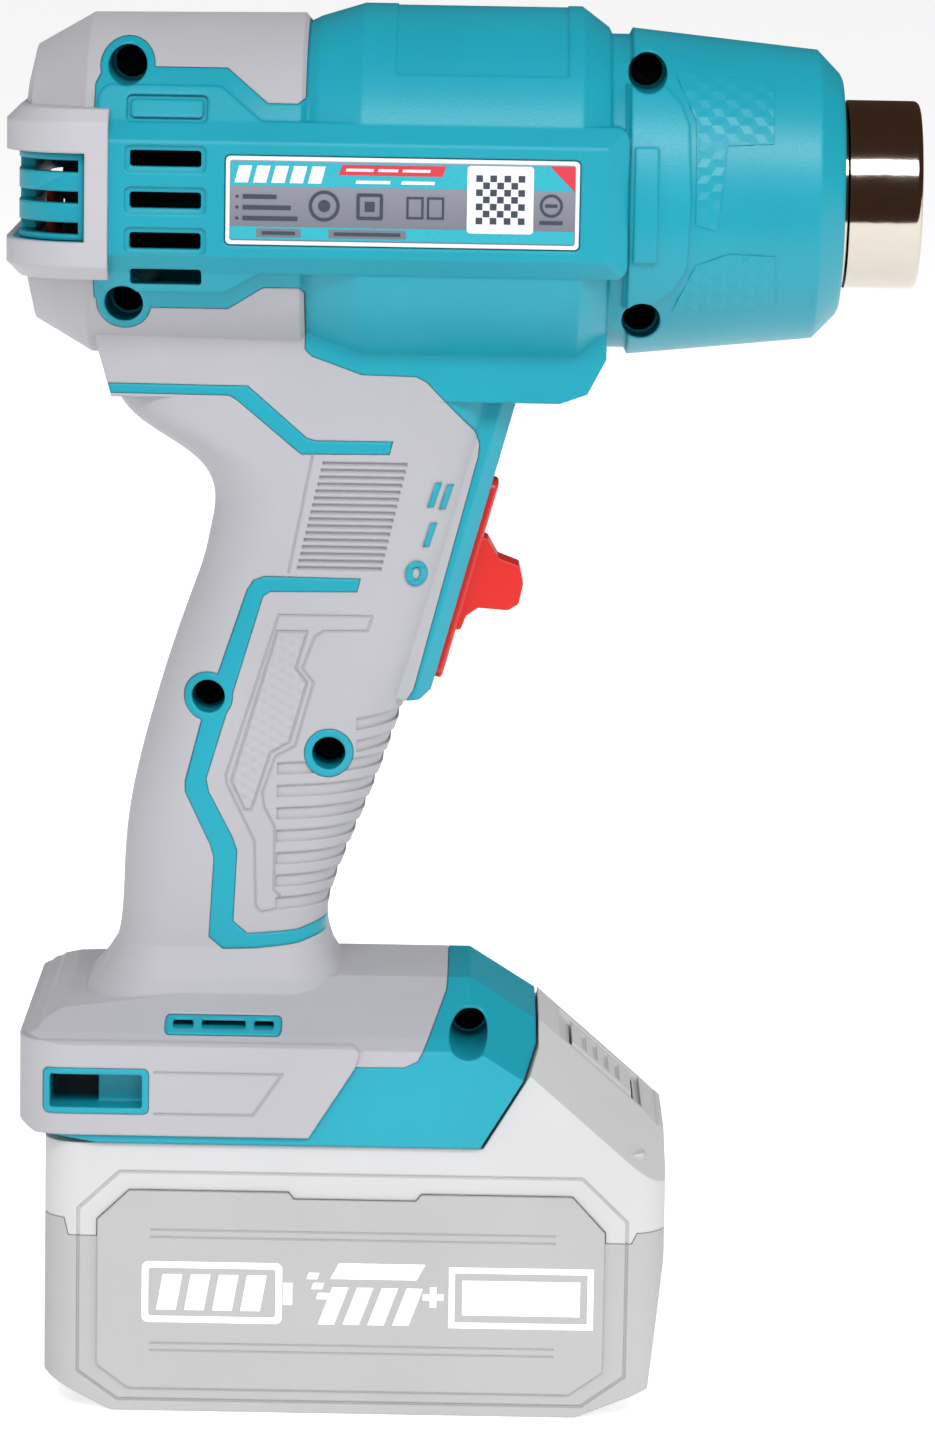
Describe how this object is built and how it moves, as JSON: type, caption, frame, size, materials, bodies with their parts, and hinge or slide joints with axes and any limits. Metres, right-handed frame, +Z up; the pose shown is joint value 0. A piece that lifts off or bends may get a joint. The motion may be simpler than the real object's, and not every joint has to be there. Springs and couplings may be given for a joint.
{
  "type": "cordless heat gun",
  "caption": "Pistol-shaped cordless heat gun with a steel outlet tube, sliding heat switch, motor fan, mica heater and a slide-on battery pack.",
  "frame": {"origin": "on the underside of the battery pack, in the seam plane, 83 mm behind the lip of the outlet tube", "axes": "+X the way the hot air leaves, +Z up from the pack to the barrel, +Y to the left of the person who holds it"},
  "size_m": [0.1674, 0.0766, 0.2593],
  "materials": {
    "teal_abs": "fine-textured glass-filled nylon or ABS, teal",
    "grey_tpe": "soft grey overmould, satin",
    "grey_abs": "pale grey moulding",
    "label_film": "printed metallised film",
    "black_steel": "black oxide or phosphate on steel",
    "red_abs": "semi-gloss red moulding",
    "black_nylon": "black nylon",
    "tinned_brass": "tinned contact brass",
    "zinc_steel": "zinc-plated steel",
    "ferrite": "sintered ferrite",
    "bronze": "sintered bronze",
    "carbon": "carbon brush",
    "bright_steel": "bright steel",
    "copper": "enamelled copper",
    "nickel_plate": "bright nickel-plated steel",
    "mica": "mica sheet",
    "heater_wire": "nickel-chrome wire",
    "steatite": "steatite ceramic",
    "circuit_board": "epoxy glass board",
    "white_nylon": "natural nylon",
    "bare_aluminium": "extruded aluminium",
    "capacitor_sleeve": "shrink sleeve",
    "chip_epoxy": "moulded epoxy package",
    "silicone_lead": "silicone insulation",
    "pack_dark": "pale grey moulding, fine texture",
    "pack_pale": "paler grey moulding",
    "button_abs": "pale grey moulding",
    "cell_sleeve": "shrink-sleeved cell",
    "holder_abs": "black ABS",
    "nickel_strip": "pure nickel strip"
  },
  "bodies": {
    "tool": {"housing_right": "teal_abs", "housing_left": "teal_abs", "grip_cover_right": "grey_tpe", "grip_cover_left": "grey_tpe", "bumper_right": "grey_tpe", "bumper_left": "grey_tpe", "rear_frame": "grey_abs", "rear_grille": "teal_abs", "label_right": "label_film", "label_left": "label_film", "hook_socket_right": "teal_abs", "hook_socket_left": "teal_abs", "foot_vent_right": "teal_abs", "foot_vent_left": "teal_abs", "housing_screws": "black_steel", "switch_body": "black_nylon", "switch_tags": "tinned_brass", "motor_can": "black_steel", "motor_magnets": "ferrite", "motor_end_cap": "black_nylon", "motor_tags": "tinned_brass", "motor_bushes": "bronze", "motor_brushes": "carbon", "fan_duct": "black_nylon", "nozzle_tube": "nickel_plate", "mica_tube": "mica", "former_upright": "mica", "former_level": "mica", "heater_coil": "heater_wire", "outlet_ring": "steatite", "thermal_cutout": "steatite", "heat_sleeve": "zinc_steel", "mouth_ring": "black_nylon", "control_board": "circuit_board", "board_posts": "white_nylon", "board_heat_sink": "bare_aluminium", "board_capacitors": "capacitor_sleeve", "board_switches": "chip_epoxy", "terminal_block": "black_nylon", "terminal_blades": "tinned_brass", "heater_leads": "silicone_lead", "motor_leads": "silicone_lead", "switch_leads": "silicone_lead", "supply_leads": "silicone_lead"},
    "slider": {"switch_slider": "red_abs"},
    "rotor": {"motor_shaft": "bright_steel", "motor_armature": "zinc_steel", "motor_windings": "copper", "motor_commutator": "copper", "fan_impeller": "black_nylon"},
    "pack": {"pack_lower_case": "pack_dark", "pack_upper_case": "pack_pale", "button_spring": "bright_steel", "pack_screws": "zinc_steel", "pack_cells": "cell_sleeve", "cell_holders": "holder_abs", "cell_straps": "nickel_strip", "pack_board": "circuit_board", "pack_contacts": "tinned_brass"},
    "button": {"release_button": "button_abs"}
  },
  "joints": [
    {"name": "switch_slide", "type": "slide", "parent": "tool", "child": "slider", "axis": [0.2656, 0, 0.9641], "range_m": [0, 0.0155]},
    {"name": "fan_spin", "type": "hinge", "parent": "tool", "child": "rotor", "pos_m": [-0.03, 0, 0.2254], "axis": [1, 0, 0], "continuous": true},
    {"name": "pack_slide", "type": "slide", "parent": "tool", "child": "pack", "axis": [1, 0, 0], "range_m": [0, 0.1]},
    {"name": "button_press", "type": "slide", "parent": "pack", "child": "button", "axis": [0, 0, -1], "range_m": [0, 0.0025], "stiffness_N_per_m": 500, "springref_m": -0.002, "deforming": ["button_spring"]}
  ]
}
